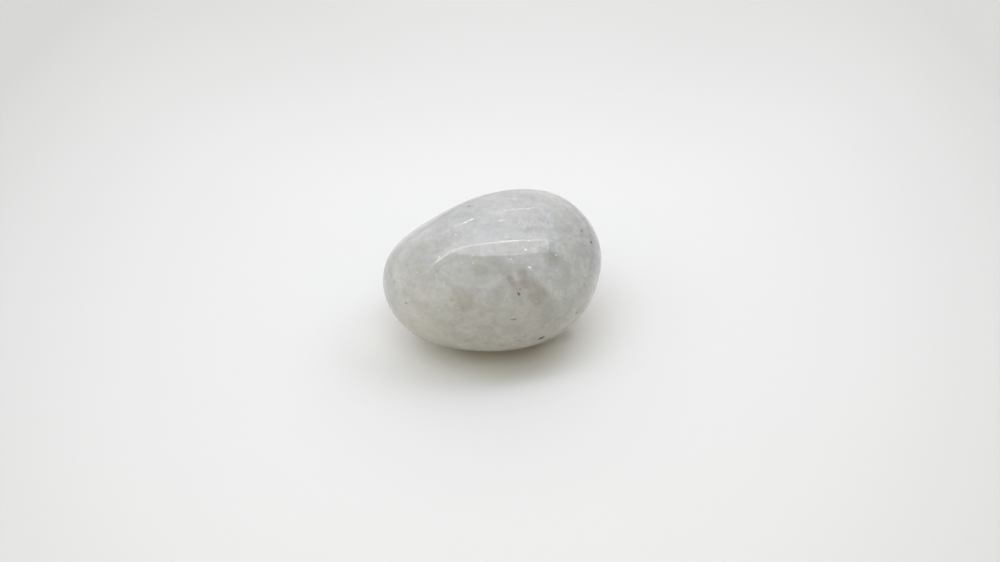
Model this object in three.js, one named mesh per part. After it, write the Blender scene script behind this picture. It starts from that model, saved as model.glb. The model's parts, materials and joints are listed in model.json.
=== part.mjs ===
// A tumbled moonstone: one pebble of milky feldspar, ground and polished all over.
//
// Frame: millimetres, +Z up. The stone rests on the plane z = 0, with the origin at the bottom centre of
// its box and +X along its long axis.
//
// Tumbling wears a broken lump down on its broad sides first, and then rounds the ridges between them. The
// body is built in that way: a ring of worn sides, each a plane with its own outward direction and distance
// from the middle, blended into one smooth convex surface. A low blend exponent gives a ball, a high one
// gives flat sides with crisp ridges.

import * as THREE from 'three';
import { mergeVertices } from 'three/addons/utils/BufferGeometryUtils.js';

// Driving dimensions, millimetres.
const LENGTH = 35.26;          // along X
const WIDTH = 27.9;            // along Y
const HEIGHT = 22.78;          // along Z, above the rest flat
const REST_FLAT_DEPTH = 0.12;  // how far the rest flat lies above the lowest point of the full round body
const BLEND = 7.84;            // blend exponent of the worn sides
const DETAIL = 17;             // subdivisions of the surface: 20 * (DETAIL + 1)^2 triangles

// Worn sides: outward direction x, y, z, and distance from the middle of the body.
const WORN_SIDES = [
  // crown
  [0.0860, -0.0400, 0.9955, 12.46],
  [0.0220, -0.4948, 0.8687, 11.61],
  [0.5813, -0.1761, 0.7944, 15.21],
  [-0.5190, -0.3380, 0.7851, 14.58],
  [-0.3130, 0.5670, 0.7620, 12.71],
  [0.4350, -0.6759, 0.5949, 14.41],
  [0.2130, 0.7921, 0.5721, 13.02],
  [-0.8190, 0.2590, 0.5120, 18.03],
  // girdle
  [-0.1380, 0.9479, 0.2870, 14.22],
  [0.8913, 0.3781, 0.2501, 17.66],
  [-0.3749, -0.9018, 0.2150, 14.62],
  [0.8508, -0.5249, -0.0260, 17.30],
  [-0.9182, -0.3831, -0.1010, 18.93],
  [0.4930, 0.8559, -0.1560, 15.64],
  [0.0620, -0.9493, -0.3081, 14.40],
  [-0.7500, 0.5230, -0.4050, 16.17],
  [0.8958, 0.1170, -0.4289, 17.65],
  [-0.6077, -0.6517, -0.4538, 14.81],
  // underside
  [-0.0070, 0.7975, -0.6033, 13.25],
  [0.5522, -0.4541, -0.6992, 13.94],
  [-0.6020, 0.1520, -0.7839, 15.93],
  [0.3679, 0.3209, -0.8727, 13.00],
  [-0.1280, -0.4210, -0.8980, 11.78],
  [-0.0030, 0.1330, -0.9911, 11.72],
];

// Distance from the middle of the body to its surface along the unit vector u.
function reach(u) {
  let sum = 0;
  for (const [x, y, z, distance] of WORN_SIDES) {
    const along = (x * u.x + y * u.y + z * u.z) / (Math.hypot(x, y, z) * distance);
    if (along > 0) sum += along ** BLEND;
  }
  return sum ** (-1 / BLEND);
}

function stoneGeometry() {
  const geometry = new THREE.IcosahedronGeometry(1, DETAIL);
  geometry.deleteAttribute('normal');
  geometry.deleteAttribute('uv');
  const merged = mergeVertices(geometry, 1e-5);
  const position = merged.getAttribute('position');

  // The full round body, about its middle.
  const points = [];
  const box = new THREE.Box3();
  for (let i = 0; i < position.count; i += 1) {
    const u = new THREE.Vector3().fromBufferAttribute(position, i).normalize();
    const point = u.multiplyScalar(reach(u));
    points.push(point);
    box.expandByPoint(point);
  }

  // Brought to its exact length, width and height, with the bottom centre of its box at the origin.
  const size = box.getSize(new THREE.Vector3());
  const centre = box.getCenter(new THREE.Vector3());
  const scale = new THREE.Vector3(
    LENGTH / size.x,
    WIDTH / size.y,
    (HEIGHT + REST_FLAT_DEPTH) / size.z,
  );
  points.forEach((point, i) => {
    const x = (point.x - centre.x) * scale.x;
    const y = (point.y - centre.y) * scale.y;
    const z = (point.z - box.min.z) * scale.z - REST_FLAT_DEPTH;
    // The rest flat: whatever would reach below z = 0 is worn level with it.
    position.setXYZ(i, x, y, Math.max(z, 0));
  });

  merged.computeVertexNormals();
  return merged;
}

const milkyStone = new THREE.MeshStandardMaterial({
  name: 'milky_stone',
  color: new THREE.Color(0.74, 0.745, 0.72),
  roughness: 0.14,
  metalness: 0,
});

const moonstone = new THREE.Mesh(stoneGeometry(), milkyStone);
moonstone.name = 'moonstone';

const group = new THREE.Group();
group.name = 'tumbled_moonstone';
group.add(moonstone);

export default group;
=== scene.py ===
import json
import math

import bmesh
import bpy
import numpy as np
from mathutils import Matrix, Vector

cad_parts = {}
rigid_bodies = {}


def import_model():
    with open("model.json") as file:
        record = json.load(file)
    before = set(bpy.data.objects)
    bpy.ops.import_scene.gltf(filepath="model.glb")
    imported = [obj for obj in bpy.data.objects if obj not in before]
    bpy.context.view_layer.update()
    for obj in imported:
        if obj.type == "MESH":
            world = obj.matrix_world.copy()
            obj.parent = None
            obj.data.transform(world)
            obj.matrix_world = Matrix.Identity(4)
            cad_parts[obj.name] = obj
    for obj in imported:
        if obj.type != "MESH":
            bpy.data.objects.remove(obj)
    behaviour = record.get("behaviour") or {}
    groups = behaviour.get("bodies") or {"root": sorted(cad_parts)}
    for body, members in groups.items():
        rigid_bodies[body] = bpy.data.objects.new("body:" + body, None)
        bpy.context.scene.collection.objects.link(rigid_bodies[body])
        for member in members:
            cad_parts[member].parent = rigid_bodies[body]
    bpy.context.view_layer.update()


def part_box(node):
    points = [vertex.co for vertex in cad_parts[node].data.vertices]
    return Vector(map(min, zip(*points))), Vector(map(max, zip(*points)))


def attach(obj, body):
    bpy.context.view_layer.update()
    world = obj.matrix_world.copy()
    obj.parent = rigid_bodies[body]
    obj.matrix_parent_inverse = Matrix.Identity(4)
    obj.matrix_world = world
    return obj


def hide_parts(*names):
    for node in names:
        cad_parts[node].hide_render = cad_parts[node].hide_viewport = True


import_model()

MM = 0.001
TAU = 2 * math.pi

# ---------------------------------------------------------------------------------------------------------------------
# The camera and the light box round the stone. Both are laid out in a frame of their own: x to the camera's right,
# y away from it, z up, in millimetres, from the point on the floor below the middle of the picture.
# ---------------------------------------------------------------------------------------------------------------------

STAGE_TURN = math.radians(-22.5)                 # from that frame to the stone's own
STAGE_ORIGIN = Vector((0.758, 0.310, 0.0))       # of the stone's middle, seen from the stage frame, with the sign turned
STONE_MIDDLE = Vector((0.494, 0.290, 10.978))    # of the worn body, in the stone's frame
STAGE_LIFT = 11.096                              # height of the stone's middle above the stage's floor


def stage(x, y, z):
    """A point of the stage frame, in the stone's frame, in metres."""
    p = Vector((x + STAGE_ORIGIN.x, y + STAGE_ORIGIN.y, z - STAGE_LIFT))
    return (Matrix.Rotation(STAGE_TURN, 3, "Z") @ p + STONE_MIDDLE) * MM


ELEVATION = math.radians(38.0)
DISTANCE = 330.0
cam_data = bpy.data.cameras.new("camera")
cam_data.sensor_width = 36.0
cam_data.lens = 75.6
cam_data.shift_x = -0.0008
cam_data.shift_y = 0.0009
cam_data.clip_start = 0.01
cam_data.clip_end = 20.0
camera = bpy.data.objects.new("camera", cam_data)
bpy.context.scene.collection.objects.link(camera)
eye = stage(0, -DISTANCE * math.cos(ELEVATION), 9.0 + DISTANCE * math.sin(ELEVATION))
look_at = stage(0, 0, 9.0)
camera.location = eye
camera.rotation_euler = (look_at - eye).to_track_quat("-Z", "Y").to_euler()
bpy.context.scene.camera = camera

bpy.context.scene.view_settings.view_transform = "Standard"
bpy.context.scene.view_settings.look = "None"

BOX_TURN = math.atan(0.33)      # how far the light box is turned from the camera
ALONG = Vector((math.cos(BOX_TURN), math.sin(BOX_TURN), 0))
ACROSS = Vector((-math.sin(BOX_TURN), math.cos(BOX_TURN), 0))
CEILING = 280.0


def panel(name, middle, x_dir, y_dir, size_x, size_y, radiance, colour=(1, 1, 1), seen=False):
    """A flat light. It shines along the cross product y_dir x x_dir, and radiance is in the floor's own units."""
    data = bpy.data.lights.new(name, "AREA")
    data.shape = "RECTANGLE"
    data.size = size_x * MM
    data.size_y = size_y * MM
    data.energy = radiance * math.pi * size_x * size_y * MM * MM
    data.color = colour
    light = bpy.data.objects.new(name, data)
    turn = Matrix.Rotation(STAGE_TURN, 3, "Z")
    xd, yd = turn @ Vector(x_dir), turn @ Vector(y_dir)
    xd.normalize(); yd.normalize()
    zd = xd.cross(yd)
    m = Matrix((xd, yd, zd)).transposed().to_4x4()
    m.translation = stage(*middle)
    light.matrix_world = m
    light.visible_camera = seen
    bpy.context.scene.collection.objects.link(light)
    return light


def on_ceiling(s, t, z=CEILING):
    """s along the light box and t across it, from the point above the middle of the picture."""
    p = ALONG * s + ACROSS * t
    return (p.x, p.y, z)


FRONT_EDGE = -31.7     # the bright ceiling's front edge, across the light box


def ceiling(name, s0, s1, t0, t1, colour, z=CEILING):
    """A flat light over the stone, from s0 to s1 along the light box and from t0 to t1 across it."""
    level = max(colour)
    return panel(name, on_ceiling((s0 + s1) / 2, (t0 + t1) / 2, z), ALONG, ACROSS, s1 - s0, t1 - t0, level,
                 [c / level for c in colour])


def side(name, s, t0, t1, z0, z1, colour):
    """An upright light on the left (s < 0) or right, shining inwards."""
    level = max(colour)
    middle = tuple(ALONG * s + ACROSS * ((t0 + t1) / 2) + Vector((0, 0, (z0 + z1) / 2)))
    return panel(name, middle, -ACROSS if s < 0 else ACROSS, (0, 0, 1), t1 - t0, z1 - z0, level, [c / level for c in colour])


def back(name, t, s0, s1, z0, z1, colour):
    level = max(colour)
    middle = tuple(ALONG * ((s0 + s1) / 2) + ACROSS * t + Vector((0, 0, (z0 + z1) / 2)))
    return panel(name, middle, -ALONG, (0, 0, 1), s1 - s0, z1 - z0, level, [c / level for c in colour])


def front(name, t, s0, s1, z0, z1, colour):
    level = max(colour)
    middle = tuple(ALONG * ((s0 + s1) / 2) + ACROSS * t + Vector((0, 0, (z0 + z1) / 2)))
    return panel(name, middle, ALONG, (0, 0, 1), s1 - s0, z1 - z0, level, [c / level for c in colour])


# The light box. Its ceiling is brightest just over the stone and fades towards the back, in bands of three lights: from
# t to t, where the bands divide along the box, and the colour of each light.
CEILING_BANDS = [
    (FRONT_EDGE - 70, FRONT_EDGE, (-180, 0, 110, 220), ((1.143, 1.340, 1.606), (0.537, 0.726, 0.846), (0.714, 0.857, 0.993))),
    (FRONT_EDGE, -12, (-180, -40, 110, 220), ((3.551, 3.655, 4.539), (3.336, 3.398, 4.226), (3.335, 3.394, 4.116))),
    (-12, 6, (-180, -40, 110, 220), ((3.627, 3.738, 4.631), (3.548, 3.630, 4.500), (3.444, 3.526, 4.270))),
    (6, 22, (-180, -40, 110, 220), ((3.233, 3.279, 3.764), (3.216, 3.249, 3.729), (3.186, 3.238, 3.669))),
    (22, 40, (-180, -40, 110, 220), ((2.328, 2.382, 2.922), (2.416, 2.462, 2.984), (2.281, 2.348, 2.811))),
    (40, 60, (-180, -40, 110, 220), ((1.132, 1.137, 1.353), (1.430, 1.443, 1.648), (1.514, 1.540, 1.723))),
    (60, 85, (-180, -40, 110, 220), ((0.716, 0.693, 0.880), (0.996, 0.976, 1.136), (1.239, 1.244, 1.384))),
    (85, 130, (-180, -60, 60, 220), ((0.298, 0.253, 0.411), (0.412, 0.341, 0.457), (0.925, 0.906, 0.996))),
    (FRONT_EDGE - 220, FRONT_EDGE - 70, (-180, 20, 220), ((1.179, 1.253, 1.143), (0.177, 0.156, 0.107))),
    (FRONT_EDGE, 130, (-260, -180), ((0.722, 1.008, 1.461),)),
    (FRONT_EDGE, 130, (220, 320), ((1.033, 1.155, 1.405),)),
    (130, 345, (220, 320), ((1.233, 1.309, 1.426),)),
]
for i, (t0, t1, parts, colours) in enumerate(CEILING_BANDS):
    for j, lit in enumerate(colours):
        ceiling(f"ceiling_{i}_{j}", parts[j], parts[j + 1], t0, t1, lit)

# The stone mirrors the ceiling as a window with a slanting left end: a plainer white than the light it gives.
for light in [o for o in bpy.data.objects if o.name.startswith(("ceiling_1_", "ceiling_2_", "ceiling_3_", "ceiling_4_"))]:
    light.visible_glossy = False
WINDOW = [
    (-75, -50, -5, 6, 3.3), (-50, -28, -14, 6, 3.3), (-28, -6, -22, 6, 3.35), (-6, 110, FRONT_EDGE, 6, 3.35), (110, 165, FRONT_EDGE, 6, 3.15),
    (165, 220, FRONT_EDGE, 6, 2.85), (-180, -40, 6, 22, 3.3), (-40, 110, 6, 22, 3.35), (110, 170, 6, 22, 3.25), (170, 220, 6, 22, 2.9),
    (-180, 220, 22, 40, 2.5),
]
for i, (s0, s1, t0, t1, level) in enumerate(WINDOW):
    ceiling(f"window_{i}", s0, s1, t0, t1, (level, level * 1.015, level * 1.08), CEILING - 0.5).visible_diffuse = False

# thin rows of lamps, which make the long highlights: s from, s to, t from, t to, colour
LAMPS = [
    (-205, -165, 9.0, 14.0, (3.8, 3.8, 4.0)), (-165, -130, 8.0, 12.5, (4.3, 4.3, 4.5)), (-130, -95, 8.5, 12.5, (4.9, 4.9, 5.1)),
    (-95, -45, 7.5, 11.5, (5.0, 5.0, 5.2)), (-45, 20, 6, 10, (4.7, 4.7, 4.9)), (20, 60, 6, 9.5, (4.6, 4.6, 4.8)), (60, 84, 6, 10, (5.0, 5.0, 5.2)),
    (84, 100, 8, 12.5, (6.0, 6.0, 6.1)), (100, 113, 8, 12.5, (7.2, 7.2, 7.3)), (113, 120, 8, 12.5, (5.3, 5.3, 5.4)), (121, 134, 9, 12.5, (4.8, 4.8, 5.0)),
    (140, 172, 7, 10, (4.2, 4.2, 4.3)), (180, 218, 6, 9.0, (4.3, 4.3, 4.4)), (224, 262, 6, 9, (4.6, 4.6, 4.8)), (272, 300, 6, 9, (4.1, 4.1, 4.2)),
    (92, 104, 23, 27, (5.4, 5.5, 6.0)), (104, 114, 26, 29, (5.0, 5.1, 5.6)), (-38, -10, 186, 194, (9.5, 9.5, 9.8)), (-8, 46, 174, 181, (11.5, 11.5, 12)),
    (66, 100, 176, 182, (3.9, 3.9, 4.0)), (104, 140, 169, 175, (4.5, 4.5, 4.6)), (140, 184, 173, 179, (4.1, 4.1, 4.2)), (190, 232, 187, 194, (2.8, 2.8, 2.9)),
]
for i, (s0, s1, t0, t1, lit) in enumerate(LAMPS):
    ceiling(f"lamps_{i}", s0, s1, t0, t1, lit, CEILING - 1).visible_diffuse = t0 < 16

# cloth sides: along each of them front, middle and back, and low, middle and high
SIDE_PARTS = (-330, -100, 100, 345)
HEIGHT_PARTS = (3, 90, 190, CEILING)
LEFT = [[(0.856, 0.790, 0.666), (0.805, 0.742, 0.657), (0.890, 0.827, 0.719)],
        [(1.079, 1.026, 0.894), (0.950, 0.905, 0.777), (0.960, 0.949, 0.829)],
        [(1.056, 1.042, 0.936), (0.809, 0.818, 0.690), (0.647, 0.666, 0.577)]]
RIGHT = [[(0.863, 0.832, 0.727), (0.705, 0.667, 0.581), (0.546, 0.515, 0.435)],
         [(1.058, 1.043, 0.913), (0.889, 0.874, 0.740), (0.646, 0.645, 0.525)],
         [(1.196, 1.181, 1.056), (1.117, 1.108, 0.988), (0.938, 0.940, 0.847)]]
BACK = [[(1.384, 1.406, 1.350), (1.349, 1.366, 1.329), (1.318, 1.335, 1.360)],
        [(1.619, 1.660, 1.546), (1.698, 1.743, 1.655), (1.583, 1.616, 1.593)]]
for k in range(3):
    z0, z1 = HEIGHT_PARTS[k], HEIGHT_PARTS[k + 1]
    for j in range(3):
        side(f"left_{j}_{k}", -260, SIDE_PARTS[j], SIDE_PARTS[j + 1], z0, z1, LEFT[j][k])
        side(f"right_{j}_{k}", 320, SIDE_PARTS[j], SIDE_PARTS[j + 1], z0, z1, RIGHT[j][k])
    back(f"back_0_{k}", 345, -260, 20, z0, z1, BACK[0][k])
    back(f"back_1_{k}", 345, 20, 320, z0, z1, BACK[1][k])
for light in [o for o in bpy.data.objects if o.name.startswith("back_")]:
    light.visible_glossy = False
# what the stone's far rim mirrors: an even cloth behind and over it
for light in (ceiling("cloth_over", -260, 320, 130, 345, (0.86, 0.86, 0.87)), back("cloth_behind", 344, -260, 320, 3, CEILING, (0.78, 0.78, 0.78))):
    light.visible_diffuse = False
front("front_0", -330, -260, 20, 3, CEILING, (0.569, 0.501, 0.239))
front("front_1", -330, 20, 320, 3, CEILING, (0.511, 0.454, 0.367))

world = bpy.data.worlds.new("room")
world.use_nodes = True
world.node_tree.nodes["Background"].inputs["Color"].default_value = (0.491, 0.471, 0.420, 1)
world.node_tree.nodes["Background"].inputs["Strength"].default_value = 1.0
bpy.context.scene.world = world


# ---------------------------------------------------------------------------------------------------------------------
# The stone's shape: worn sides blended into one smooth convex body, then small real wear.
# ---------------------------------------------------------------------------------------------------------------------

BLEND = 7.84
REST_FLAT_DEPTH = 0.12
WORN_SIDES = np.array([
    [0.0860, -0.0400, 0.9955, 12.46], [0.0220, -0.4948, 0.8687, 11.61], [0.5813, -0.1761, 0.7944, 15.21],
    [-0.5190, -0.3380, 0.7851, 14.58], [-0.3130, 0.5670, 0.7620, 12.71], [0.4350, -0.6759, 0.5949, 14.41],
    [0.2130, 0.7921, 0.5721, 13.02], [-0.8190, 0.2590, 0.5120, 18.03], [-0.1380, 0.9479, 0.2870, 14.22],
    [0.8913, 0.3781, 0.2501, 17.66], [-0.3749, -0.9018, 0.2150, 14.62], [0.8508, -0.5249, -0.0260, 17.30],
    [-0.9182, -0.3831, -0.1010, 18.93], [0.4930, 0.8559, -0.1560, 15.64], [0.0620, -0.9493, -0.3081, 14.40],
    [-0.7500, 0.5230, -0.4050, 16.17], [0.8958, 0.1170, -0.4289, 17.65], [-0.6077, -0.6517, -0.4538, 14.81],
    [-0.0070, 0.7975, -0.6033, 13.25], [0.5522, -0.4541, -0.6992, 13.94], [-0.6020, 0.1520, -0.7839, 15.93],
    [0.3679, 0.3209, -0.8727, 13.00], [-0.1280, -0.4210, -0.8980, 11.78], [-0.0030, 0.1330, -0.9911, 11.72],
])
SIDE_DIR = WORN_SIDES[:, :3] / np.linalg.norm(WORN_SIDES[:, :3], axis=1)[:, None]
SIDE_DIST = WORN_SIDES[:, 3]


def reach(u):
    """Distance from the body's middle to its surface along the unit vectors u."""
    along = np.maximum(0.0, u @ SIDE_DIR.T) / SIDE_DIST
    return (along ** BLEND).sum(1) ** (-1.0 / BLEND)


def spiral(n):
    i = np.arange(n) + 0.5
    polar, turn = np.arccos(1 - 2 * i / n), math.pi * (1 + 5 ** 0.5) * i
    return np.stack([np.cos(turn) * np.sin(polar), np.sin(turn) * np.sin(polar), np.cos(polar)], 1)


_u = spiral(40000)
_p = _u * reach(_u)[:, None]
RAW_LO, RAW_HI = _p.min(0), _p.max(0)
node_lo, node_hi = (np.array(c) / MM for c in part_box("moonstone"))
SCALE = (node_hi - node_lo + np.array([0, 0, REST_FLAT_DEPTH])) / (RAW_HI - RAW_LO)
MIDDLE = node_lo - np.array([0, 0, REST_FLAT_DEPTH]) - RAW_LO * SCALE     # of the body, in the stone's frame


def place(p):
    """Body coordinates to the stone's frame, in millimetres."""
    return p * SCALE + MIDDLE


def unit(lon, lat):
    lon, lat = math.radians(lon), math.radians(lat)
    return np.array([math.cos(lon) * math.cos(lat), math.sin(lon) * math.cos(lat), math.sin(lat)])


def at(lon, lat):
    """The point of the surface in a direction from the middle, in degrees, in the stone's frame, in millimetres."""
    u = unit(lon, lat)[None]
    return place(u * reach(u)[:, None])[0]


def lattice_noise(p, seed):
    """Smooth noise from -1 to 1 over points p, from gradients on a unit grid."""
    cell = np.floor(p).astype(np.int64)
    f = p - cell
    w = f * f * f * (f * (f * 6 - 15) + 10)
    total = np.zeros(len(p))
    for dx in (0, 1):
        for dy in (0, 1):
            for dz in (0, 1):
                c = cell + np.array([dx, dy, dz])
                h = (c[:, 0] * 73856093) ^ (c[:, 1] * 19349663) ^ (c[:, 2] * 83492791) ^ (seed * 2654435761)
                h = (h ^ (h >> 13)) * 1274126177 & 0x7FFFFFFF
                h = h ^ (h >> 16)
                a = (h & 0xFFFF) / 65536.0 * TAU
                z = ((h >> 8) & 0xFFFF) / 32768.0 - 1.0
                r = np.sqrt(np.maximum(0, 1 - z * z))
                g = np.stack([r * np.cos(a), r * np.sin(a), z], 1)
                d = (g * (f - np.array([dx, dy, dz]))).sum(1)
                weight = np.where(dx, w[:, 0], 1 - w[:, 0]) * np.where(dy, w[:, 1], 1 - w[:, 1]) * np.where(dz, w[:, 2], 1 - w[:, 2])
                total += weight * d
    return total


# Pits left where a grain fell out. Direction from the middle, half length and half width in millimetres, depth, and the
# angle of the long side from east.
PITS = [
    (-96.3, 22.5, 0.28, 0.24, 0.10, 60),
    (-81.0, -15.8, 0.42, 0.34, 0.16, 25),
    (-164.9, 7.5, 0.20, 0.18, 0.07, 0),
    (-101.3, 6.7, 0.26, 0.14, 0.03, 10),
    (-19.4, 19.9, 0.26, 0.20, 0.07, 80),
    (-16.5, 28.0, 0.28, 0.18, 0.04, 40),
    (131.7, 68.1, 0.26, 0.16, 0.06, 20),
    (-58.2, -3.8, 0.40, 0.24, 0.08, 70),
    (-96.6, -10.3, 0.62, 0.50, 0.035, 0),
    (-161.6, 9.6, 0.38, 0.18, 0.03, -15),
    (-94.8, 25.2, 0.20, 0.14, 0.04, 70),
    (108.0, 13.5, 0.26, 0.20, 0.08, 40), (66.0, 22.0, 0.20, 0.15, 0.05, 10), (135.0, -10.0, 0.28, 0.20, 0.08, 70), (28.0, -6.0, 0.20, 0.16, 0.05, 120),
]
# and more of them round the sides that face away
for _k, _d in enumerate(spiral(46)):
    _lon, _lat = math.degrees(math.atan2(_d[1], _d[0])), math.degrees(math.asin(_d[2]))
    if _d @ np.array([-0.32, -0.74, 0.60]) < -0.05 and _k % 3 != 0:
        _j = (_k * 0.618) % 1.0
        PITS.append((_lon + 9 * _j, _lat + 6 * (0.5 - _j), 0.16 + 0.26 * _j, 0.12 + 0.14 * ((_k * 0.383) % 1.0), 0.04 + 0.08 * _j, 180 * ((_k * 0.271) % 1.0)))

bm = bmesh.new()
bmesh.ops.create_icosphere(bm, subdivisions=7, radius=1.0)
pit_dirs = np.array([unit(p[0], p[1]) for p in PITS])
pit_reach = np.array([1.9 * p[2] for p in PITS]) / reach(pit_dirs)
for level in (1.6, 1.0):
    bm.verts.ensure_lookup_table()
    bm.edges.ensure_lookup_table()
    co = np.array([v.co for v in bm.verts])
    ends = np.array([[e.verts[0].index, e.verts[1].index] for e in bm.edges])
    mid = co[ends].mean(1)
    mid /= np.linalg.norm(mid, axis=1)[:, None]
    near = np.zeros(len(mid), bool)
    for d, r in zip(pit_dirs, pit_reach):
        near |= ((mid - d) ** 2).sum(1) < (r * level + 0.012) ** 2
    bmesh.ops.subdivide_edges(bm, edges=[bm.edges[i] for i in np.nonzero(near)[0]], cuts=1, use_grid_fill=True)
    bmesh.ops.triangulate(bm, faces=[f for f in bm.faces if len(f.verts) > 3])
    for v in bm.verts:
        v.co.normalize()

co = np.array([v.co for v in bm.verts])
u = co / np.linalg.norm(co, axis=1)[:, None]
p = u * reach(u)[:, None]
# the slow unevenness that tumbling leaves
swell = 0.010 * lattice_noise(p / 6.5 + 11.3, 3) + 0.0035 * lattice_noise(p / 2.6 + 4.7, 8)
p = p + u * swell[:, None]
for lon, lat, a, b, depth, angle in PITS:
    d = unit(lon, lat)
    east = np.cross([0, 0, 1.0], d)
    east /= np.linalg.norm(east)
    north = np.cross(d, east)
    t = math.radians(angle)
    long_side, short_side = east * math.cos(t) + north * math.sin(t), north * math.cos(t) - east * math.sin(t)
    centre = d * reach(d[None])[0]
    off = p - centre
    x, y = off @ long_side, off @ short_side
    rho2 = (x / a) ** 2 + (y / b) ** 2
    ragged = 1.0 + 0.25 * lattice_noise(p * 4.0, 21)
    rho2 = rho2 * ragged ** 2
    inside = (rho2 < 1.0) & (off @ d > -3.0)
    p[inside] -= np.outer(depth * (1 - rho2[inside]) ** 1.5, d)
q = place(p)
q[:, 2] = np.maximum(q[:, 2], 0.0)
for v, c in zip(bm.verts, q):
    v.co = Vector(c * MM)
bmesh.ops.recalc_face_normals(bm, faces=bm.faces)
mesh = bpy.data.meshes.new("moonstone_body")
bm.to_mesh(mesh)
bm.free()
for poly in mesh.polygons:
    poly.use_smooth = True
stone = bpy.data.objects.new("moonstone_body", mesh)
bpy.context.scene.collection.objects.link(stone)
print("stone triangles", len(mesh.polygons))


# ---------------------------------------------------------------------------------------------------------------------
# The stone's material
# ---------------------------------------------------------------------------------------------------------------------

class Nodes:
    """A few words for writing node trees."""

    def __init__(self, tree):
        self.tree = tree
        tree.nodes.clear()

    def put(self, socket, value):
        if isinstance(value, bpy.types.NodeSocket):
            self.tree.links.new(value, socket)
        elif socket.default_value != value:                  # each change makes Blender go over the whole tree
            socket.default_value = value

    def add(self, kind, inputs=None, **settings):
        node = self.tree.nodes.new(kind)
        for key, value in settings.items():
            if getattr(node, key) != value:
                setattr(node, key, value)
        for key, value in (inputs or {}).items():
            self.put(node.inputs[key], value)
        return node

    def maths(self, op, a, b=None, c=None):
        node = self.add("ShaderNodeMath", operation=op)
        for i, value in enumerate((a, b, c)):
            if value is not None:
                self.put(node.inputs[i], value)
        return node.outputs[0]

    def vec(self, op, a, b=None, scale=None):
        node = self.add("ShaderNodeVectorMath", operation=op)
        self.put(node.inputs[0], a)
        if b is not None:
            self.put(node.inputs[1], b)
        if scale is not None:
            self.put(node.inputs["Scale"], scale)
        return node.outputs["Value"] if op in ("DOT_PRODUCT", "LENGTH", "DISTANCE") else node.outputs[0]

    def step(self, x, lo, hi, to_lo=0.0, to_hi=1.0):
        """x from lo to hi, eased, to to_lo..to_hi."""
        node = self.add("ShaderNodeMapRange", interpolation_type="SMOOTHSTEP", clamp=False)
        for i, value in enumerate((x, lo, hi, to_lo, to_hi)):
            self.put(node.inputs[i], value)
        return node.outputs[0]

    def mix(self, factor, a, b, blend="MIX"):
        node = self.add("ShaderNodeMix", data_type="RGBA", blend_type=blend, clamp_factor=True)
        self.put(node.inputs[0], factor)
        self.put(node.inputs[6], a)
        self.put(node.inputs[7], b)
        return node.outputs[2]

    def noise(self, vector, scale, detail=3.0, rough=0.5, distort=0.0):
        node = self.add("ShaderNodeTexNoise", noise_dimensions="3D")
        self.put(node.inputs["Vector"], vector)
        self.put(node.inputs["Scale"], scale)
        self.put(node.inputs["Detail"], detail)
        self.put(node.inputs["Roughness"], rough)
        self.put(node.inputs["Distortion"], distort)
        return node

    def as_vector(self, colour):
        parts = self.add("ShaderNodeSeparateColor", {0: colour})
        return self.add("ShaderNodeCombineXYZ", {i: parts.outputs[i] for i in range(3)}).outputs[0]

    def grey(self, value):
        return self.add("ShaderNodeCombineColor", {i: value for i in range(3)}).outputs[0]


def rgb(r, g, b):
    return (r, g, b, 1.0)


material = bpy.data.materials.new("milky_stone")
material.use_nodes = True
n = Nodes(material.node_tree)
where = n.add("ShaderNodeTexCoord").outputs["Object"]
P = n.vec("SCALE", where, scale=1000.0)                      # millimetres in the stone's frame
wander = n.noise(P, 0.55, 3.0, 0.55)
wander_fine = n.noise(P, 1.9, 3.0, 0.55)
shift = n.vec("SUBTRACT", n.as_vector(wander.outputs["Color"]), (0.5, 0.5, 0.5))
shift_fine = n.vec("SUBTRACT", n.as_vector(wander_fine.outputs["Color"]), (0.5, 0.5, 0.5))
Pf = n.vec("ADD", P, n.vec("SCALE", shift_fine, scale=0.9))  # ragged on a small scale
Pw = n.vec("ADD", Pf, n.vec("SCALE", shift, scale=2.6))      # and wandering on a larger one
HEIGHT = n.add("ShaderNodeSeparateXYZ", {0: Pw}).outputs[2]


def near_line(ends, core, edge, where, strength=1.0):
    """strength within core millimetres of the line between two directions, given in degrees, and 0 past edge."""
    a, b = at(*ends[0]), at(*ends[-1])
    if len(ends) == 1:
        return n.step(n.vec("DISTANCE", where, tuple(a)), edge, core, 0.0, strength)
    ba = b - a
    pa = n.vec("SUBTRACT", where, tuple(a))
    h = n.maths("MULTIPLY", n.vec("DOT_PRODUCT", pa, tuple(ba)), 1.0 / float(ba @ ba))
    h = n.maths("MINIMUM", n.maths("MAXIMUM", h, 0.0), 1.0)
    return n.step(n.vec("DISTANCE", pa, n.vec("SCALE", tuple(ba), scale=h)), edge, core, 0.0, strength)


def patches(table, where):
    """The strongest of a table of patches: strength, core and edge in millimetres, then one direction or two."""
    out = 0.0
    for row in table:
        out = n.maths("MAXIMUM", out, near_line(row[3:], row[1], row[2], where, row[0]))
    return out


def tint(mask, r, g, b):
    """Multiply the colour where the mask is 1."""
    global colour
    colour = n.mix(mask, colour, rgb(r, g, b), "MULTIPLY")


def stretched(turn, scale, detail, along=3.6, offset=(0, 0, 0)):
    """Noise drawn out along one direction."""
    node = n.add("ShaderNodeMapping", {"Vector": Pw}, vector_type="TEXTURE")
    node.inputs["Location"].default_value = offset
    node.inputs["Rotation"].default_value = turn
    node.inputs["Scale"].default_value = (along, 1.0, 1.0)
    return n.noise(node.outputs[0], scale, detail, 0.6).outputs["Fac"]


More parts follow.
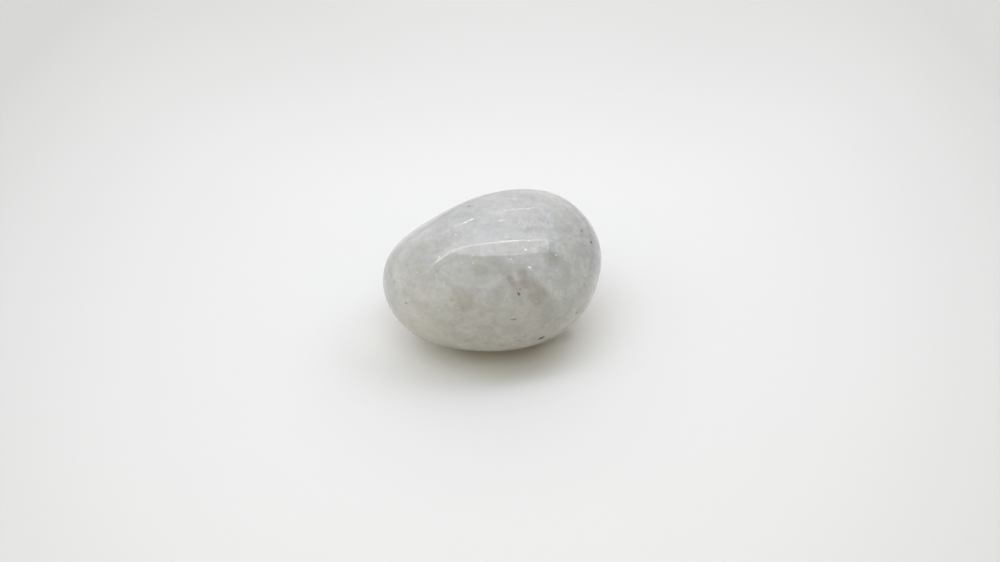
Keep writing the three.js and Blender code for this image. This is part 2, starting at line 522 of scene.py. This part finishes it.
# the body, with painted light and shade by height: paler on top, warmer lower down, and a browner underside
colour = n.mix(n.step(HEIGHT, 12.5, 5.0), rgb(0.333, 0.335, 0.329), rgb(0.361, 0.352, 0.325))
# painted shade: the underside darker and browner
colour = n.mix(n.step(HEIGHT, 3.5, 0.0, 0.0, 0.8), colour, rgb(0.360, 0.330, 0.265))
# painted light: the top paler
colour = n.mix(n.step(HEIGHT, 13.5, 20.5, 0.0, 0.8), colour, rgb(0.391, 0.395, 0.398))

# clouds, grain and fibres, as one factor for lightness
slow = n.noise(P, 0.11, 3.0, 0.5, 0.6).outputs["Fac"]
mid = n.noise(n.vec("ADD", P, (31.0, 7.0, 3.0)), 0.36, 4.0, 0.55, 0.4).outputs["Fac"]
grain = n.noise(n.vec("ADD", P, (3.0, 17.0, 9.0)), 1.25, 5.0, 0.66, 0.3).outputs["Fac"]
fibre_a = stretched((0.0, 0.5, 0.62), 1.15, 4.0)
fibre_b = stretched((0.3, -0.4, -0.75), 1.35, 4.0, offset=(40, 10, 5))
side_mottle = n.step(n.vec("DISTANCE", P, tuple(at(-28, 36))), 12.0, 5.0, 0.7, 1.5)
fibres = n.maths("ADD", n.maths("SUBTRACT", fibre_a, 0.5), n.maths("SUBTRACT", fibre_b, 0.5))
crystal = n.add("ShaderNodeTexVoronoi", {"Vector": Pf, "Scale": 1.05, "Smoothness": 0.35}, feature="SMOOTH_F1")
crystal_tone = n.add("ShaderNodeSeparateColor", {0: crystal.outputs["Color"]}).outputs[0]
light = n.maths("MULTIPLY_ADD", n.maths("SUBTRACT", slow, 0.5), 0.08, 1.0)
light = n.maths("MULTIPLY_ADD", n.maths("SUBTRACT", mid, 0.5), 0.13, light)
light = n.maths("MULTIPLY_ADD", n.maths("SUBTRACT", grain, 0.5), 0.32, light)
light = n.maths("MULTIPLY_ADD", n.maths("MULTIPLY", fibres, side_mottle), 0.22, light)
light = n.maths("MULTIPLY_ADD", n.maths("SUBTRACT", crystal_tone, 0.5), 0.055, light)
# slight warm and cool clouds in the lower part
hue = n.noise(n.vec("ADD", Pf, (5.0, 41.0, 13.0)), 0.75, 2.0, 0.5).outputs["Fac"]
hued = n.step(HEIGHT, 19.0, 16.0)
# thin pale seams
seam_field = stretched((0.1, 0.35, 0.40), 0.42, 4.0, 2.6, (11, 3, 8))
seam = n.maths("MULTIPLY", n.step(n.maths("ABSOLUTE", n.maths("SUBTRACT", seam_field, 0.5)), 0.016, 0.002), n.step(mid, 0.50, 0.60))
light = n.maths("MULTIPLY_ADD", seam, 0.12, light)
# pale and dark flecks
fleck = n.add("ShaderNodeTexVoronoi", {"Vector": Pf, "Scale": 1.7}, feature="F1")
fleck_pick = n.add("ShaderNodeSeparateColor", {0: fleck.outputs["Color"]})
light = n.maths("MULTIPLY_ADD", n.maths("MULTIPLY", n.step(fleck.outputs["Distance"], 0.24, 0.08), n.step(fleck_pick.outputs[0], 0.70, 0.74)), 0.10, light)
light = n.maths("MULTIPLY_ADD", n.maths("MULTIPLY", n.step(fleck.outputs["Distance"], 0.30, 0.10), n.step(fleck_pick.outputs[1], 0.78, 0.82)), -0.12, light)
colour = n.mix(1.0, colour, n.grey(light), "MULTIPLY")
tint(n.maths("MULTIPLY", n.step(hue, 0.50, 0.64), hued), 1.020, 0.992, 0.985)
tint(n.maths("MULTIPLY", n.step(hue, 0.50, 0.36), hued), 0.984, 1.004, 0.982)

# glassy, slightly green mottles
mottle = n.noise(n.vec("ADD", Pw, (9.0, 2.0, 27.0)), 0.62, 5.0, 0.62).outputs["Fac"]
tint(n.step(mottle, 0.54, 0.64, 0.0, 0.38), 0.86, 0.875, 0.83)
tint(n.step(mottle, 0.44, 0.36, 0.0, 0.4), 1.07, 1.065, 1.07)
ragged = n.step(grain, 0.40, 0.58, 0.55, 1.0)

# broad tones: lightness and tint, core and edge in millimetres, one direction or two. Some are painted light and shade:
# a lighter rim and lower edge at the left end, and a darker underside.
BROAD = [
    ((0.92, 0.905, 0.915), 1.0, 7.0, (49.5, 68.5)), ((0.83, 0.83, 0.83), 1.0, 7.2, (148.5, 60.0)),
    ((1.20, 1.20, 1.195), 1.0, 5.6, (11.7, 81.7)), ((1.155, 1.165, 1.17), 1.0, 5.6, (-173.4, 68.5)),
    ((0.92, 0.925, 0.925), 1.0, 8.0, (-57.1, 27.2)), ((0.88, 0.875, 0.835), 1.0, 7.0, (-97.7, 43.0)),
    # painted light: the second tone here and the lighter ones on the next two lines brighten the left end's rim and
    # lower edge
    ((0.93, 0.925, 0.89), 1.0, 7.5, (-148.0, 39.0)), ((1.155, 1.17, 1.205), 1.0, 7.0, (-177.4, 6.1)),
    ((0.94, 0.94, 0.94), 1.0, 6.0, (-171.4, 24.6)), ((1.13, 1.13, 1.13), 2.0, 7.5, (-160.1, 10.6), (-138.0, 7.0)),
    ((1.10, 1.095, 1.10), 1.0, 7.2, (-146.0, -2.7)), ((1.16, 1.15, 1.14), 1.0, 5.5, (-161.7, -7.3)),
    ((1.10, 1.11, 1.12), 1.0, 5.5, (-62.0, 5.0)), ((0.78, 0.785, 0.81), 0.8, 3.8, (-5.0, 32.0), (-29.0, 17.0)), ((1.07, 1.075, 1.08), 0.6, 3.4, (-160.0, 37.0), (-151.0, 42.0)),
    ((0.99, 0.995, 1.015), 2.0, 6.5, (-140.0, 22.0), (-115.0, 20.0)), ((0.99, 1.0, 1.02), 2.0, 7.0, (-25.0, 12.0), (-45.0, 14.0)), ((1.22, 1.23, 1.24), 0.5, 3.8, (-24.0, 10.0), (-38.8, 0.1)),
    # painted shade: the second tone here and the first on the next line darken the underside
    ((1.13, 1.13, 1.13), 1.0, 5.0, (-104.0, 6.5), (-93.0, 6.0)), ((0.84, 0.80, 0.74), 2.0, 8.0, (-70.0, -50.0)), ((1.0, 0.995, 0.975), 1.5, 6.0, (-134.0, 9.0), (-108.0, 4.0)),
    ((0.80, 0.78, 0.74), 0.8, 4.0, (-72.0, -38.0), (-54.0, -34.0)), ((1.0, 0.995, 0.955), 0.5, 3.3, (-160.0, 34.0), (-120.0, 39.5)), ((1.02, 1.025, 1.03), 1.5, 5.0, (-150.0, 63.0), (-80.0, 64.0)), ((0.99, 0.998, 1.025), 0.4, 2.4, (-157.0, 38.0), (-150.0, 44.0)), ((0.99, 0.995, 1.02), 0.5, 2.2, (-123.0, 20.5), (-104.0, 17.5)),
    # painted light: the lower left made lighter
    ((1.07, 1.07, 1.07), 1.0, 4.2, (-158.0, 9.0), (-151.0, 8.5)),
    # and on the far side
    ((0.89, 0.89, 0.85), 1.0, 6.5, (62.0, 12.0)), ((0.91, 0.905, 0.865), 1.0, 6.0, (115.0, -12.0)), ((1.09, 1.09, 1.09), 0.8, 5.0, (88.0, 18.0)),
    ((0.88, 0.88, 0.87), 0.8, 4.5, (20.0, -10.0)), ((1.08, 1.085, 1.09), 0.8, 4.5, (112.0, 12.0)),
]
for shade, core, edge, *ends in BROAD:
    tint(near_line(ends, core, edge, Pw), *shade)
OLIVE = [
    (1.0, 0.25, 1.2, (-129.3, 39.3), (-123.6, 38.6)), (0.40, 0.2, 1.1, (-119.7, 46.7), (-111.3, 43.6)),
    (0.55, 0.2, 1.2, (-107.4, 42.1), (-102.1, 38.5)), (0.95, 0.3, 1.6, (-57.3, 41.5), (-56.0, 34.0)),
    (0.65, 0.3, 1.5, (-52.1, 28.3), (-57.9, 19.5)), (0.55, 0.2, 1.1, (-65.5, 18.5), (-60.0, 17.2)),
    (0.15, 0.2, 1.1, (-64.1, 9.2), (-61.9, 5.8)), (0.25, 0.2, 1.0, (-164.1, 25.4), (-158.7, 25.4)),
    (0.45, 0.2, 0.9, (-167.1, 12.8), (-163.0, 12.8)), (0.40, 0.3, 1.4, (179.8, 35.1), (-172.6, 35.9)),
    (0.55, 0.1, 0.6, (-133.0, 14.2)),
    (0.60, 0.1, 0.7, (-131.3, -12.4), (-125.4, -7.0)), (0.60, 0.1, 0.6, (-118.6, -12.8)), (0.55, 0.05, 0.45, (-153.4, 10.0)),
    (0.80, 0.05, 0.38, (-144.3, 3.8), (-137.6, 1.3)), (0.55, 0.05, 0.40, (-144.4, 9.9)), (0.20, 0.1, 0.7, (-84.8, 12.3), (-85.0, 9.5)),
    (0.80, 0.05, 0.35, (-162.7, 9.6), (-160.7, 10.2)), (0.80, 0.10, 0.45, (-95.8, -13.9), (-98.7, -12.0)), (0.6, 0.1, 0.6, (-94.0, -10.0)), (0.9, 0.1, 0.75, (-128.2, 36.8), (-125.0, 36.2)), 
    (0.5, 0.2, 1.0, (-146.0, 2.0), (-138.0, -1.0)), (0.5, 0.3, 1.3, (-120.0, 31.3)),
    (0.35, 0.3, 1.1, (-110.9, 26.4), (-110.3, 20.2)), (0.20, 0.3, 1.1, (-99.5, 19.3), (-95.7, 17.5)), (0.15, 0.3, 1.1, (-87.8, 12.1)),
    (0.70, 0.3, 1.6, (105.0, 14.0), (118.0, 16.0)), (0.60, 0.3, 1.4, (60.0, 30.0), (72.0, 26.0)), (0.55, 0.3, 1.3, (140.0, -12.0)), (0.60, 0.3, 1.5, (20.0, 5.0), (32.0, -2.0)),
]
tint(n.maths("MULTIPLY", patches(OLIVE, Pf), ragged), 0.78, 0.80, 0.715)
BROWN = [
    (0.95, 0.4, 1.2, (-88.5, 35.0), (-89.5, 27.5)), (0.55, 0.3, 1.2, (-96.5, 28.6), (-84.0, 26.5)), (0.85, 0.4, 1.5, (-86.0, 27.0), (-80.5, 19.0)),
    (0.75, 0.3, 1.1, (-88.2, 19.4), (-84.4, 15.4)), (0.55, 0.2, 0.8, (-82.7, 18.3)), (0.40, 0.3, 1.3, (-80.0, 8.0), (-79.0, 2.0)),
    (0.75, 0.1, 0.5, (-140.0, 18.3)), (0.40, 0.1, 0.5, (-137.1, 21.7), (-131.9, 21.1)), (0.45, 0.2, 0.7, (-129.5, 17.7)),
    (0.60, 0.8, 2.1, (-132.5, 17.8)), (0.85, 0.15, 0.75, (-100.6, 32.8), (-99.2, 30.2)), (0.95, 0.05, 0.48, (-99.1, 30.5), (-97.5, 26.0)),
    (0.6, 0.03, 0.30, (-97.5, 26.0), (-96.5, 23.5)), (0.7, 0.05, 0.3, (-80.3, 12.4)), (0.5, 0.05, 0.4, (-101.3, 6.7)),
    (0.80, 0.3, 1.2, (98.0, 5.0), (90.0, -4.0)), (0.80, 0.06, 0.45, (112.0, 22.0), (108.0, 14.0)), (0.60, 0.3, 1.3, (40.0, 15.0)),
]
tint(n.maths("MULTIPLY", patches(BROWN, Pf), ragged), 0.76, 0.73, 0.69)
SHADE = [
    (0.8, 0.2, 1.3, (-27.0, 43.8), (-19.9, 35.9)), (0.9, 0.5, 1.8, (-15.8, 24.8)), (0.4, 0.3, 1.5, (-31.8, 28.0), (-35.7, 23.5)),
    (0.6, 0.2, 1.1, (-16.6, 43.0), (-9.8, 47.0)), (0.45, 0.2, 1.2, (-43.4, 23.4), (-45.5, 17.2)), (0.8, 0.05, 0.35, (-175.1, 54.8)),
    (0.45, 0.2, 1.0, (164.6, 70.4)), (0.45, 0.2, 1.0, (-171.4, 73.4)), (0.35, 0.2, 1.0, (-143.8, 72.8)),
    (0.9, 0.1, 0.35, (-25.5, 50.3)), (0.8, 0.1, 0.35, (-31.5, 48.5)), (0.65, 0.3, 1.7, (-103.5, -1.5)), (0.45, 0.3, 1.5, (-84.5, 12.5), (-78.5, 14.0)), (0.5, 0.5, 2.0, (-95.0, 20.0), (-87.0, 15.0)),
    (0.45, 0.2, 1.0, (-141.2, 39.5)), (0.7, 0.05, 0.4, (50.8, 69.5), (37.2, 66.9)), (0.5, 0.1, 0.7, (-44.9, 60.7)), (0.6, 0.1, 0.5, (-27.1, 42.4)),
    (0.7, 0.03, 0.3, (-22.5, 50.8)), (0.6, 0.03, 0.3, (133.3, 64.2), (132.1, 67.5)), (0.45, 0.2, 1.2, (-52.7, 12.6)), (0.5, 0.3, 1.6, (-142.0, -6.0), (-134.0, -9.0)),
    (0.5, 0.3, 1.2, (-42.4, 78.3)), (0.8, 0.3, 1.4, (-10.2, 30.8)), (0.5, 0.3, 1.4, (-140.4, 41.6), (-135.5, 40.6)), (0.45, 0.3, 1.3, (-140.7, 56.9)),
    (0.4, 0.4, 1.6, (-128.6, 33.1)), (0.35, 0.4, 1.4, (-169.5, 12.8)), (0.45, 0.3, 1.1, (-65.6, 14.6)), (0.45, 0.2, 0.9, (-94.0, -9.0)), (0.5, 0.2, 1.0, (-130.1, -19.0)),
    # painted shade: the patch from (-78, -19) to (-72, -24) darkens the underside
    (0.35, 0.4, 1.6, (-151.0, 3.0), (-146.0, 0.0)), (0.45, 0.3, 1.5, (2.2, 44.7)), (0.5, 0.4, 1.8, (-115.0, 81.0)), (0.60, 0.3, 1.3, (-88.0, 19.0), (-83.0, 13.0)), (0.6, 0.3, 1.2, (-78.0, -19.0), (-72.0, -24.0)), (0.4, 0.4, 1.6, (-141.0, 58.5)),  (0.35, 0.4, 1.7, (-40.5, 49.5)), (0.35, 0.4, 1.6, (-141.0, 50.5)), (0.4, 0.3, 1.2, (-66.0, 11.0)), (0.3, 0.4, 1.5, (-165.0, 17.0)), (0.6, 0.4, 1.5, (-104.0, -1.0), (-99.0, -2.0)), (0.6, 0.3, 1.2, (-89.5, 17.5)), (0.6, 0.2, 1.0, (-107.7, -16.3)), (0.5, 0.3, 1.3, (-52.2, 14.3)), (0.4, 0.3, 1.3, (-161.1, 22.6)),
    (0.6, 0.4, 1.8, (130.0, -2.0), (120.0, -8.0)), (0.5, 0.4, 1.6, (75.0, 10.0)), (0.6, 0.3, 1.5, (50.0, -12.0), (60.0, -16.0)), (0.5, 0.3, 1.4, (145.0, -20.0)),
    (0.5, 0.3, 1.4, (-29.0, 24.8)), (0.6, 0.3, 1.2, (-78.5, 17.7)), (0.7, 0.1, 0.55, (-108.5, 37.2), (-105.5, 36.5)),
]
tint(n.maths("MULTIPLY", patches(SHADE, Pf), ragged), 0.80, 0.80, 0.80)
PALE = [
    (0.55, 0.3, 1.4, (-168.0, 49.5), (-160.0, 46.0)), (1.0, 0.4, 1.5, (-75.1, 29.1), (-69.2, 15.6)), (1.0, 0.05, 0.5, (-101.5, 36.3), (-95.8, 35.8)), (0.9, 0.08, 0.5, (-95.6, 35.0), (-95.7, 30.2)), (0.9, 0.3, 1.2, (-98.0, 46.5), (-80.0, 44.5)),
    (0.8, 0.15, 0.9, (-116.1, 29.6), (-106.4, 35.6)), (0.6, 0.1, 0.8, (-106.4, 35.6), (-104.0, 22.3)),
    (0.6, 0.1, 0.8, (-124.1, 20.0), (-116.1, 29.6)), (0.9, 0.1, 0.8, (-61.2, -8.6), (-60.1, 0.6)),
    (0.7, 0.4, 1.3, (-76.8, 40.4), (-66.7, 38.4)), (0.6, 0.05, 0.5, (177.7, 39.1), (-177.0, 49.1)),
    (0.6, 0.05, 0.5, (-177.0, 49.1), (-168.6, 50.8)), (0.8, 0.03, 0.3, (-178.6, 58.6), (-178.8, 66.6)),
    (0.8, 0.03, 0.25, (-97.7, -7.4), (-93.1, -7.6)), (0.8, 0.3, 1.4, (-32.9, 15.6)), (0.8, 0.4, 1.6, (-43.9, -3.5)), (0.9, 0.4, 1.5, (-150.0, 27.6)),
    # painted light: the line from (176.2, 6.5) to (-178.5, 4.2) is a lighter rim along the left end
    (0.9, 0.3, 1.4, (-65.6, -9.8)), (0.6, 0.4, 1.6, (-119.1, 5.7)), (0.8, 0.2, 0.9, (176.2, 6.5), (-178.5, 4.2)), (0.7, 0.2, 0.9, (-156.0, 38.5), (-152.5, 41.5)),
    (0.8, 0.3, 1.3, (-68.0, 27.5), (-61.0, 26.0)), (0.6, 0.3, 1.4, (-68.5, 7.6)), (0.6, 0.3, 1.2, (-43.5, 36.1)), (0.7, 0.3, 1.2, (-112.0, -11.0), (-101.0, -13.0)),
    (0.6, 0.3, 1.3, (-174.0, 46.6), (-173.6, 50.0)), (0.6, 0.2, 1.0, (-73.5, 45.3)), (0.8, 0.3, 1.4, (-52.8, 1.3)), (0.7, 0.3, 1.3, (-43.0, 10.0)), (0.8, 0.3, 1.3, (-59.8, -20.2)),
    (0.6, 0.4, 1.6, (-6.2, 59.9)), (0.6, 0.4, 1.6, (-37.8, 66.5)), (0.7, 0.2, 0.9, (-126.2, 48.1), (-118.0, 47.5)), (0.5, 0.2, 0.9, (-158.0, 36.0)), (0.6, 0.4, 1.5, (-171.0, 35.0)), (0.5, 0.4, 1.6, (-168.0, 50.0)), (0.6, 0.3, 1.1, (-157.0, 35.5)),
    (0.9, 0.3, 1.4, (122.0, 12.0), (112.0, 8.0)), (0.8, 0.3, 1.3, (85.0, 30.0), (98.0, 30.0)), (0.8, 0.3, 1.4, (65.0, -2.0), (80.0, -6.0)),
    (0.8, 0.05, 0.45, (118.0, 20.0), (128.0, 2.0)), (0.8, 0.05, 0.45, (30.0, 14.0), (52.0, 20.0)),
]
tint(n.maths("MULTIPLY", patches(PALE, Pf), n.step(grain, 0.36, 0.55, 0.7, 1.0)), 1.12, 1.12, 1.135)

# dark grains in the pits, and painted glints: near-white spots where light catches the inner cleavage flakes
DARK = [
    (1.0, 0.10, 0.30, (-96.3, 22.5)), (0.8, 0.02, 0.18, (-94.8, 25.2)), (1.0, 0.26, 0.50, (-81.8, -16.4), (-80.4, -15.5)),
    (1.0, 0.04, 0.20, (-164.9, 7.5)), (0.5, 0.03, 0.18, (-103.0, 6.6), (-100.0, 6.6)), (1.0, 0.16, 0.36, (-19.4, 19.9)),
    (0.80, 0.10, 0.36, (-16.5, 28.0)), (1.0, 0.14, 0.36, (131.7, 68.1)), (0.45, 0.10, 0.45, (-58.2, -3.8)),
    (1.0, 0.10, 0.30, (108.0, 13.5)), (0.8, 0.05, 0.24, (66.0, 22.0)), (0.9, 0.10, 0.30, (135.0, -10.0)), (0.7, 0.04, 0.22, (28.0, -6.0)),
]
dark = patches(DARK, n.vec("ADD", P, n.vec("SCALE", shift_fine, scale=0.35)))
colour = n.mix(n.maths("MULTIPLY", dark, 0.92), colour, rgb(0.055, 0.052, 0.036))
PAINTED_GLINTS = [
    (0.50, 0.04, 0.24, (-74.6, 50.8), (-73.9, 50.1)), (0.35, 0.05, 0.28, (-94.5, 81.4), (-81.0, 81.4)), (0.65, 0.02, 0.15, (-133.9, 42.3)),
    (0.55, 0.03, 0.20, (-81.0, 37.6), (-79.7, 36.8)), (0.65, 0.02, 0.17, (-160.8, 37.8)), (0.55, 0.02, 0.15, (-166.7, 24.5)),
    (0.60, 0.03, 0.20, (-51.7, 34.9)), (0.55, 0.02, 0.17, (-52.4, 42.1)), (0.55, 0.02, 0.16, (-96.0, 46.6)),
    (0.32, 0.02, 0.16, (-44.3, 70.0)), (0.40, 0.04, 0.20, (-166.2, 55.0)), (0.60, 0.02, 0.15, (-62.6, 55.1)),
    (0.40, 0.02, 0.14, (-137.1, 48.1)), (0.45, 0.02, 0.15, (-75.0, 53.3)), (0.40, 0.02, 0.13, (-154.9, 28.2)),
    (0.45, 0.02, 0.14, (-79.7, 35.1)), (0.35, 0.02, 0.14, (-46.7, 45.9)), (0.35, 0.02, 0.15, (-157.1, 56.7)),
    (0.50, 0.03, 0.17, (85.0, 40.0), (86.5, 39.0)), (0.50, 0.02, 0.15, (62.0, 38.0)), (0.45, 0.02, 0.14, (115.0, 10.0)),
]
painted_glint = patches(PAINTED_GLINTS, n.vec("ADD", P, n.vec("SCALE", shift_fine, scale=0.22)))
# and small painted glints everywhere, fainter on the top
tiny_glint_cells = n.add("ShaderNodeTexVoronoi", {"Vector": P, "Scale": 0.42}, feature="F1")
tiny_glint_pick = n.add("ShaderNodeSeparateColor", {0: tiny_glint_cells.outputs["Color"]})
tiny_glint_size = n.maths("MULTIPLY_ADD", tiny_glint_pick.outputs[1], 0.055, 0.035)
tiny_painted_glint = n.maths("MULTIPLY", n.step(n.maths("DIVIDE", tiny_glint_cells.outputs["Distance"], tiny_glint_size), 1.0, 0.3), n.step(tiny_glint_pick.outputs[0], 0.55, 0.9))
painted_glint = n.maths("MAXIMUM", painted_glint, n.maths("MULTIPLY", tiny_painted_glint, n.step(HEIGHT, 21.5, 19.0, 0.25, 0.45)))
# painted glints: near-white spots in the colour
colour = n.mix(painted_glint, colour, rgb(0.90, 0.905, 0.89))

rough = n.maths("ADD", n.step(grain, 0.35, 0.7, 0.036, 0.054), n.maths("MULTIPLY", dark, 0.35))
bump = n.add("ShaderNodeBump", {"Strength": 0.04, "Distance": 0.00002, "Height": n.noise(P, 2.2, 2.0, 0.5).outputs["Fac"]})

shader = n.add("ShaderNodeBsdfPrincipled")
shader.subsurface_method = "RANDOM_WALK"
n.put(shader.inputs["Base Color"], colour)
n.put(shader.inputs["Roughness"], rough)
n.put(shader.inputs["Normal"], bump.outputs[0])
shader.inputs["IOR"].default_value = 1.53
shader.inputs["Subsurface Weight"].default_value = 0.8
shader.inputs["Subsurface Radius"].default_value = (1.0, 0.88, 0.70)
shader.inputs["Subsurface Scale"].default_value = 0.0038
out = n.add("ShaderNodeOutputMaterial", {"Surface": shader.outputs[0]})
stone.data.materials.append(material)

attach(stone, "root")
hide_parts("moonstone")

# ---------------------------------------------------------------------------------------------------------------------
# The floor
# ---------------------------------------------------------------------------------------------------------------------

floor_mat = bpy.data.materials.new("white_sheet")
floor_mat.use_nodes = True
f = Nodes(floor_mat.node_tree)
fwhere = f.vec("SCALE", f.add("ShaderNodeTexCoord").outputs["Object"], scale=1000.0)
grain = f.noise(fwhere, 1.1, 2.0, 0.5).outputs["Fac"]
fbump = f.add("ShaderNodeBump", {"Strength": 0.25, "Distance": 0.0001, "Height": grain})
fs = f.add("ShaderNodeBsdfPrincipled")
# painted light falloff: the sheet's colour darkens slowly away from the stone
off = f.vec("MULTIPLY", fwhere, (1 / 79.0, 1 / 128.0, 0))
away = f.maths("MINIMUM", f.vec("DOT_PRODUCT", off, off), 1.7)
tone = f.maths("SUBTRACT", 0.62, f.maths("MULTIPLY", away, 0.62 * 0.15))
paper = f.add("ShaderNodeCombineColor", {0: tone, 1: tone, 2: tone}).outputs[0]


def floor_near(a, b, core, edge):
    """1 within core millimetres of the line from a to b on the sheet, and 0 past edge."""
    a, b = Vector((*a, 0)), Vector((*b, 0))
    pa = f.vec("SUBTRACT", fwhere, tuple(a))
    h = f.maths("MULTIPLY", f.vec("DOT_PRODUCT", pa, tuple(b - a)), 1 / (b - a).dot(b - a))
    h = f.maths("MINIMUM", f.maths("MAXIMUM", h, 0.0), 1.0)
    return f.step(f.vec("DISTANCE", pa, f.vec("SCALE", tuple(b - a), scale=h)), edge, core)


# painted shadow: the sheet darkened in two pieces where the stone stands
paper = f.mix(floor_near((-3.0, -5.2), (2.6, -4.8), 1.3, 5.3), paper, rgb(0.83, 0.795, 0.735), "MULTIPLY")
paper = f.mix(floor_near((5.2, -4.0), (9.6, -2.3), 0.6, 2.8), paper, rgb(0.80, 0.795, 0.76), "MULTIPLY")
# painted light: the sheet lightened at the stone's lower left
paper = f.mix(floor_near((-17.0, -3.0), (-6.0, -7.5), 2.0, 9.0), paper, rgb(1.10, 1.10, 1.095), "MULTIPLY")
# painted shade: the sheet darkened far behind the stone
paper = f.mix(floor_near((-20.0, 95.0), (20.0, 95.0), 10.0, 62.0), paper, rgb(0.94, 0.94, 0.94), "MULTIPLY")
f.put(fs.inputs["Base Color"], paper)
fs.inputs["Roughness"].default_value = 0.75
f.put(fs.inputs["Normal"], fbump.outputs[0])
f.add("ShaderNodeOutputMaterial", {"Surface": fs.outputs[0]})

fm = bpy.data.meshes.new("floor")
fbm = bmesh.new()
bmesh.ops.create_circle(fbm, cap_ends=True, segments=96, radius=2.5)
fbm.to_mesh(fm)
fbm.free()
floor = bpy.data.objects.new("floor", fm)
floor.location = (stage(0, 0, 0).x, stage(0, 0, 0).y, 0)
floor.rotation_euler = (0, 0, STAGE_TURN)
bpy.context.scene.collection.objects.link(floor)
floor.data.materials.append(floor_mat)
